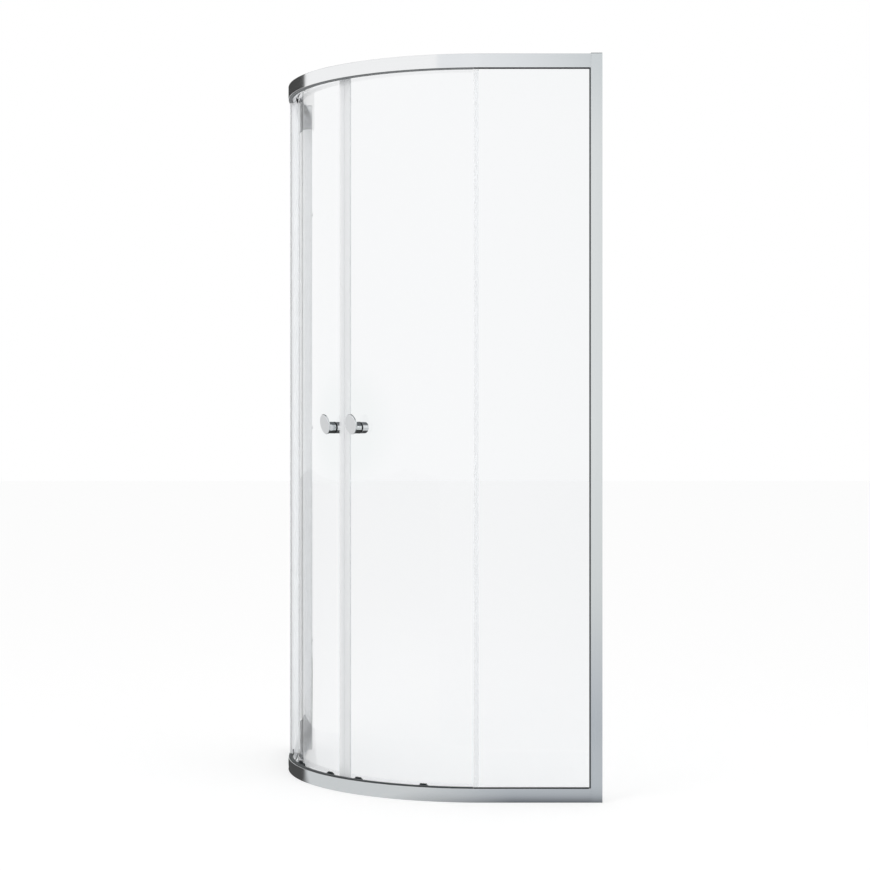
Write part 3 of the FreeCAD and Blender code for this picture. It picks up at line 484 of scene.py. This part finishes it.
# Close round the handles, the doors' glass also lets mirror rays go straight through, so that
# the chrome outside it shows the same dark and light bands as the chrome inside it.
HANDLES = (-0.2475, -0.2475, 0.975)
ROUND_HANDLES = (0.075, 0.20)
door_glass, tree = float_glass("toughened_bent_float_glass")
straight = next(node for node in tree.nodes if node.type == "MIX_SHADER")
rays = next(node for node in tree.nodes if node.type == "LIGHT_PATH")
place = add(tree, "ShaderNodeTexCoord")
apart = add(tree, "ShaderNodeVectorMath", {1: HANDLES}, {0: place.outputs["Object"]},
            operation="DISTANCE")
close = add(tree, "ShaderNodeMapRange",
            {"From Min": ROUND_HANDLES[0], "From Max": ROUND_HANDLES[1], "To Min": 1.0,
             "To Max": 0.0}, {"Value": apart.outputs["Value"]}, interpolation_type="SMOOTHSTEP")
mirrored = add(tree, "ShaderNodeMath", links={0: rays.outputs["Is Glossy Ray"],
                                              1: close.outputs[0]}, operation="MULTIPLY")
either = add(tree, "ShaderNodeMath", links={0: rays.outputs["Is Shadow Ray"],
                                            1: mirrored.outputs[0]}, operation="MAXIMUM")
tree.links.new(either.outputs[0], straight.inputs[0])

# %% [markdown]
# ### Rubber and soft plastic
# The glazing strips are extruded EPDM rubber, black with a dull shine. The seals on the panes'
# edges are soft clear PVC, which looks like a milky grey stripe. The magnet in the closing
# seal is of the pale, see-through sort, which leaves the two doors' meeting line light.

# %% Rubber, seal and magnet finishes
rubber, tree, shader = new_finish("extruded_epdm_rubber", Specular_IOR_Level=0.45)
grain(tree, shader, 0.6, (1.0, 1.0, 1.0), (0.42, 0.56), (0.12, 0.0001), ("#1B1E20", "#24282A"))

# The cover strips on the curve are the same black rubber with a painted sheen: grey, a little
# paler at the top rail.
top_strip_painted_sheen, tree, shader = new_finish("epdm_top_strip_painted_sheen")
grain(tree, shader, 0.6, (1.0, 1.0, 1.0), (0.50, 0.62), (0.10, 0.0001), ("#777A7C", "#808385"))

bottom_strip_painted_sheen, tree, shader = new_finish("epdm_bottom_strip_painted_sheen")
grain(tree, shader, 0.6, (1.0, 1.0, 1.0), (0.50, 0.62), (0.10, 0.0001), ("#3E4243", "#484C4E"))

# Soft PVC passes on some of the light from behind it, which a little light of its own stands for.
soft_pvc, tree, shader = clear_finish(
    "soft_clear_pvc", "#F4F5F6", IOR=1.52, Alpha=0.40, Emission_Color=linear("#F8FAFB"),
    Emission_Strength=0.15)
grain(tree, shader, 2.5, (1.0, 1.0, 0.004), (0.24, 0.34), (0.02, 0.0001), ("#F8F9FA", "#FDFDFE"))

# The milky cover glows a little too: painted light for what it passes on from behind.
milky_pvc, tree, shader = clear_finish(
    "milky_pvc_magnet_cover", "#EEF0F2", Alpha=0.60, Emission_Color=linear("#F6F9FB"),
    Emission_Strength=0.075)
grain(tree, shader, 2.5, (1.0, 1.0, 0.004), (0.30, 0.40), (0.02, 0.0001), ("#FAFBFC", "#FEFEFE"))

magnet_strip, tree, shader = clear_finish("bonded_magnet_strip", "#F0F1F3", Alpha=0.22)
grain(tree, shader, 0.7, (1.0, 1.0, 0.2), (0.55, 0.70), (0.08, 0.0001), ("#F0F1F3", "#F7F8F9"))

# %% [markdown]
# ### Chrome, steel and the moulded plastics
# The handles are die-cast zinc under chrome: a clean dark-and-light mirror. Hubs and screws are
# turned steel. Housings and caps are moulded ABS with a fine spark texture, and the wheels are
# white nylon, a little translucent.

# %% Metal and plastic finishes
chrome, tree, shader = new_finish("chrome_on_cast_zinc", Metallic=1.0)
grain(tree, shader, 6.0, (1.0, 1.0, 1.0), (0.05, 0.09), (0.02, 0.0002), ("#E2E4E6", "#E9EBEC"))

steel, tree, shader = new_finish("turned_stainless_steel", Metallic=1.0)
grain(tree, shader, 0.5, (1.0, 1.0, 1.0), (0.26, 0.40), (0.05, 0.0001), ("#B9BCBD", "#C6C9CA"))

dark_abs, tree, shader = new_finish("moulded_black_abs", Specular_IOR_Level=0.5)
grain(tree, shader, 0.45, (1.0, 1.0, 1.0), (0.36, 0.50), (0.18, 0.0001), ("#23282A", "#2B3032"))

grey_abs, tree, shader = new_finish("moulded_grey_abs", Specular_IOR_Level=0.5)
grain(tree, shader, 0.45, (1.0, 1.0, 1.0), (0.36, 0.50), (0.15, 0.0001), ("#B4B8BA", "#BDC1C3"))

nylon, tree, shader = new_finish("moulded_white_nylon", Subsurface_Weight=0.2,
                                 Subsurface_Scale=0.002)
grain(tree, shader, 0.6, (1.0, 1.0, 1.0), (0.34, 0.46), (0.08, 0.0001), ("#E2E2DD", "#EAEAE6"))

finishes = {
    "bright_aluminium": upright_metal, "black_rubber": rubber, "clear_pvc": soft_pvc,
    "magnet": magnet_strip, "chrome": chrome, "dark_plastic": dark_abs,
    "grey_plastic": grey_abs, "white_nylon": nylon, "steel": steel,
}
print("finishes by slot:", len(finishes))

# %% [markdown]
# ## Rails that follow the curve
# Each rail is one extrusion, bent round the quarter curve. Its section never changes, so
# Geometry Nodes carry it along a path: the path is a curve that stands on the rail's outer
# face, the section is a second curve, drawn with its depth across and its height up. A Fillet
# Curve node breaks the section's corners by the die's small radius.

# %% Path and section curves
ARC_STEPS = 90


def plan_path():
    """Points along the enclosure's outer face, from one wall to the other."""
    points = [(RAIL_END, -HALF)]
    for step in range(ARC_STEPS + 1):
        angle = math.radians(90 * step / ARC_STEPS)
        points.append((CURVE_CENTRE - CURVE_RADIUS * math.sin(angle),
                       CURVE_CENTRE - CURVE_RADIUS * math.cos(angle)))
    points.append((-HALF, RAIL_END))
    return points


def poly_curve(name, runs, closed):
    """A curve object of straight runs between points."""
    data = bpy.data.curves.new(name, "CURVE")
    data.dimensions = "3D"
    data.twist_mode = "Z_UP"
    for run in runs:
        spline = data.splines.new("POLY")
        spline.points.add(len(run) - 1)
        for point, place in zip(spline.points, run):
            point.co = (*place, 0.0, 1.0)
        spline.use_cyclic_u = closed
    made = bpy.data.objects.new(name, data)
    scene.collection.objects.link(made)
    return made


def round_port(t, z, radius, steps=16):
    """The round screw port in a rail's section."""
    turns = [2 * math.pi * step / steps for step in range(steps)]
    return [(t + radius * math.cos(a), z + radius * math.sin(a)) for a in turns]


# %% [markdown]
# The tree itself is short. Its inputs are named: the section, the rounding of its corners and
# the finish. It ends in Realize Instances and Set Material, and the edges that stay sharp are
# marked, so that flat faces shade flat.

# %% Geometry tree that carries a section along a path
def socket_id(tree, name):
    return next(item.identifier for item in tree.interface.items_tree if item.name == name)


sweep = bpy.data.node_groups.new("section_along_path", "GeometryNodeTree")
for name, kind in (("Path", "NodeSocketGeometry"), ("Section", "NodeSocketObject"),
                   ("Corner radius", "NodeSocketFloat"), ("Finish", "NodeSocketMaterial")):
    sweep.interface.new_socket(name, in_out="INPUT", socket_type=kind)
sweep.interface.new_socket("Piece", in_out="OUTPUT", socket_type="NodeSocketGeometry")
start = add(sweep, "NodeGroupInput")
section = add(sweep, "GeometryNodeObjectInfo", links={"Object": start.outputs["Section"]})
rounded = add(sweep, "GeometryNodeFilletCurve", {"Count": 3, "Limit Radius": True},
              {"Curve": section.outputs["Geometry"], "Radius": start.outputs["Corner radius"]},
              mode="POLY")
carried = add(sweep, "GeometryNodeCurveToMesh", {"Fill Caps": True},
              {"Curve": start.outputs["Path"], "Profile Curve": rounded.outputs[0]})
solid = add(sweep, "GeometryNodeRealizeInstances", links={0: carried.outputs[0]})
coated = add(sweep, "GeometryNodeSetMaterial", links={"Geometry": solid.outputs[0],
                                                      "Material": start.outputs["Finish"]})
add(sweep, "NodeGroupOutput", links={"Piece": coated.outputs[0]})


def settle(made, name):
    """The evaluated result of a piece's modifiers as a plain mesh object at the origin."""
    bpy.context.view_layer.update()
    graph = bpy.context.evaluated_depsgraph_get()
    mesh = bpy.data.meshes.new_from_object(made.evaluated_get(graph))
    mesh.name = name
    bpy.data.objects.remove(made)
    piece = bpy.data.objects.new(name, mesh)
    scene.collection.objects.link(piece)
    return piece


def shade(piece):
    """Smooth shading with sharp edges where faces meet at an angle, and even light on flats."""
    work = bmesh.new()
    work.from_mesh(piece.data)
    bmesh.ops.recalc_face_normals(work, faces=work.faces)
    work.to_mesh(piece.data)
    work.free()
    piece.data.polygons.foreach_set("use_smooth", [True] * len(piece.data.polygons))
    piece.data.set_sharp_from_angle(angle=math.radians(30))
    piece.modifiers.new("even_shading", "WEIGHTED_NORMAL").keep_sharp = True


def carry(name, path, runs, corner, finish):
    """A piece made of a section, given as runs of (depth, height), carried along a path.

    The section's own second axis points down where the path's twist keeps it upright.
    """
    path_object = poly_curve(name + "_path", [path], closed=False)
    turned = [[(depth, -height) for depth, height in run] for run in runs]
    section_object = poly_curve(name + "_section", turned, closed=True)
    modifier = path_object.modifiers.new("sweep", "NODES")
    modifier.node_group = sweep
    modifier[socket_id(sweep, "Section")] = section_object
    modifier[socket_id(sweep, "Corner radius")] = corner
    modifier[socket_id(sweep, "Finish")] = finish
    piece = settle(path_object, name)
    bpy.data.objects.remove(section_object)
    shade(piece)
    heights = [at[2] for at in piece.bound_box]
    print(name, "faces", len(piece.data.polygons), "from", round(min(heights), 4), "to",
          round(max(heights), 4))
    return piece


# %% [markdown]
# The top rail has an outer wall, a groove for the glass, a ledge for the rollers and a hood.
# The bottom rail has the same wall and groove, and a flat race with a low lip. Both carry a
# round port for the end screws.

# %% Top and bottom rail
WALL = 0.002
RIB = (0.012, 0.0132)
PORT = (0.0165, 0.0042, 0.0025)
CORNER = 0.0007
TOP_DEPTH = 0.027
HOOD = 0.0085
LEDGE_DROP = 0.033
LEDGE_DEPTH = 0.0218
BOTTOM_DEPTH = 0.030
LIP = 0.0015
LIP_HEIGHT = 0.007
RIB_TOP = 0.030

top = PROFILE_TOP
ledge = top - LEDGE_DROP
hood = top - HOOD
top_section = [
    (0, top), (TOP_DEPTH, top), (TOP_DEPTH, hood), (TOP_DEPTH - WALL, hood),
    (TOP_DEPTH - WALL, top - WALL), (RIB[1], top - WALL), (RIB[1], ledge), (LEDGE_DEPTH, ledge),
    (LEDGE_DEPTH, ledge - WALL), (RIB[0], ledge - WALL), (RIB[0], top - WALL),
    (WALL, top - WALL), (WALL, top - RAIL_HEIGHT), (0, top - RAIL_HEIGHT),
]
top_rail = carry("top_rail_bent", plan_path(),
                 [top_section, round_port(PORT[0], top - PORT[1], PORT[2])], CORNER, rail_metal)

lip = BOTTOM_DEPTH - LIP
bottom_section = [
    (0, 0), (BOTTOM_DEPTH, 0), (BOTTOM_DEPTH, LIP_HEIGHT), (lip, LIP_HEIGHT), (lip, WALL),
    (RIB[1], WALL), (RIB[1], RIB_TOP), (RIB[0], RIB_TOP), (RIB[0], WALL), (WALL, WALL),
    (WALL, RAIL_HEIGHT), (0, RAIL_HEIGHT),
]
bottom_rail = carry("bottom_rail_bent", plan_path(),
                    [bottom_section, round_port(*PORT)], CORNER, rail_metal)

for piece, node in ((top_rail, "top_rail"), (bottom_rail, "bottom_rail")):
    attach(piece, "frame")
    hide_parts(node)

# %% [markdown]
# ## Break the edges of the small pieces
# No moulded, cast or cut piece has a knife edge. A copy of each node's mesh is merged, its flat
# faces are joined again, and its edges are rounded by a fraction of a millimetre, so that every
# edge catches a thin line of light. The copy stands for the node and moves with the same body.

# %% Copies with rounded edges
MERGE = 2e-6
FLAT = math.radians(0.6)
SHARP = math.radians(40)
CREASE = math.radians(32)


def dress(node, finish, radius):
    """A copy of a node with merged points and rounded edges."""
    source = nodes[node]
    mesh = source.data.copy()
    mesh.name = node + "_finished"
    for name in [a.name for a in mesh.attributes if a.name == "custom_normal"]:
        mesh.attributes.remove(mesh.attributes[name])
    work = bmesh.new()
    work.from_mesh(mesh)
    bmesh.ops.remove_doubles(work, verts=work.verts, dist=MERGE)
    bmesh.ops.dissolve_limit(work, angle_limit=FLAT, verts=work.verts,
                             edges=work.edges)
    edges = [e for e in work.edges
             if e.is_manifold and e.calc_face_angle(0) > SHARP]
    if radius:
        bmesh.ops.bevel(work, geom=edges, offset=radius, segments=2, profile=0.5,
                        affect="EDGES", clamp_overlap=True)
    bmesh.ops.triangulate(work, faces=[f for f in work.faces if len(f.verts) > 4])
    work.to_mesh(mesh)
    work.free()
    mesh.materials.clear()
    mesh.materials.append(finish)
    mesh.polygons.foreach_set("material_index", [0] * len(mesh.polygons))
    mesh.polygons.foreach_set("use_smooth", [True] * len(mesh.polygons))
    mesh.set_sharp_from_angle(angle=CREASE)
    piece = bpy.data.objects.new(node + "_finished", mesh)
    scene.collection.objects.link(piece)
    piece.modifiers.new("even_shading", "WEIGHTED_NORMAL").keep_sharp = True
    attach(piece, body_of(source)[0])
    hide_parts(node)


SIDES = ("right", "left")
PLACES = ("lead", "trail")
jobs = [("top_rail_gaskets", "black_rubber", 0.0004),
        ("bottom_rail_gaskets", "black_rubber", 0.0004),
        ("profile_caps", "grey_plastic", 0.0006), ("rail_end_screws", "steel", 0.0002),
        ("jamb_screws", "steel", 0.0003), ("door_stops", "black_rubber", 0.0006)]
for side in SIDES:
    jobs += [(name + "_" + side, slot, radius) for name, slot, radius in (
        ("wall_profile", "bright_aluminium", 0.0004), ("jamb_profile", "bright_aluminium", 0.0004),
        ("fixed_edge_seal", "clear_pvc", 0.0003),
        ("magnet_strip", "magnet", 0.0003),
        ("trailing_seal", "clear_pvc", 0.0003), ("outer_handle", "chrome", 0.0006),
        ("inner_knob", "chrome", 0.0005), ("handle_stud", "steel", 0.0002),
        ("glass_rings", "black_rubber", 0.0002), ("top_roller_hubs", "steel", 0.0002),
        ("top_roller_caps", "dark_plastic", 0.0003),
        ("bottom_roller_housings", "dark_plastic", 0.0005),
        ("bottom_roller_caps", "dark_plastic", 0.0003))]
    for place in PLACES:
        jobs += [(name + "_" + place + "_" + side, slot, radius) for name, slot, radius in (
            ("top_wheel", "white_nylon", 0.0003), ("bottom_wheel", "white_nylon", 0.0003),
            ("bottom_slider", "dark_plastic", 0.0003), ("bottom_spring", "steel", 0.0))]
for node, slot, radius in jobs:
    dress(node, finishes[slot], radius)

# %% [markdown]
# The springs are coils, and each is pressed shorter against its seat in the housing as its
# slider lifts. Here each spring only gets a mesh of its own.

# %% Springs with meshes of their own
for end in (place + "_" + side for place in PLACES for side in SIDES):
    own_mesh(bpy.data.objects["bottom_spring_" + end + "_finished"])

# %% [markdown]
# ## Pieces in a finish of their own
# The strips that close the glass groove on the curve are greyer than the gaskets on the panes,
# and so are the gaskets at the jambs: their grey is painted sheen on black rubber. The closing
# seals are a milky cover over a magnet. Their slots are those of the other rubber and PVC, and
# only what the eye sees differs.

# %% Rubber with painted sheen, and milky covers
for side in SIDES:
    dress("jamb_gasket_" + side, bottom_strip_painted_sheen, 0.0003)
    dress("magnetic_seal_" + side, milky_pvc, 0.0003)
dress("top_groove_strip", top_strip_painted_sheen, 0.0006)
dress("bottom_groove_strip", bottom_strip_painted_sheen, 0.0006)
dressed = [item.name for item in scene.objects if item.name.endswith("_finished")]
print("dressed pieces:", len(dressed))

# %% [markdown]
# ## The glass itself
# A pane is a cut sheet, flat or bent, and rails and seals hide its ground edges. Its own mesh
# has that shape already, so it stays as it is, and only its object gets a finish.

# %% Glass on the panes' own meshes
for side in SIDES:
    for node, glass in (("fixed_glass_" + side, pane_glass), ("door_glass_" + side, door_glass)):
        for item in nodes[node].material_slots:
            item.link = "OBJECT"
            item.material = glass
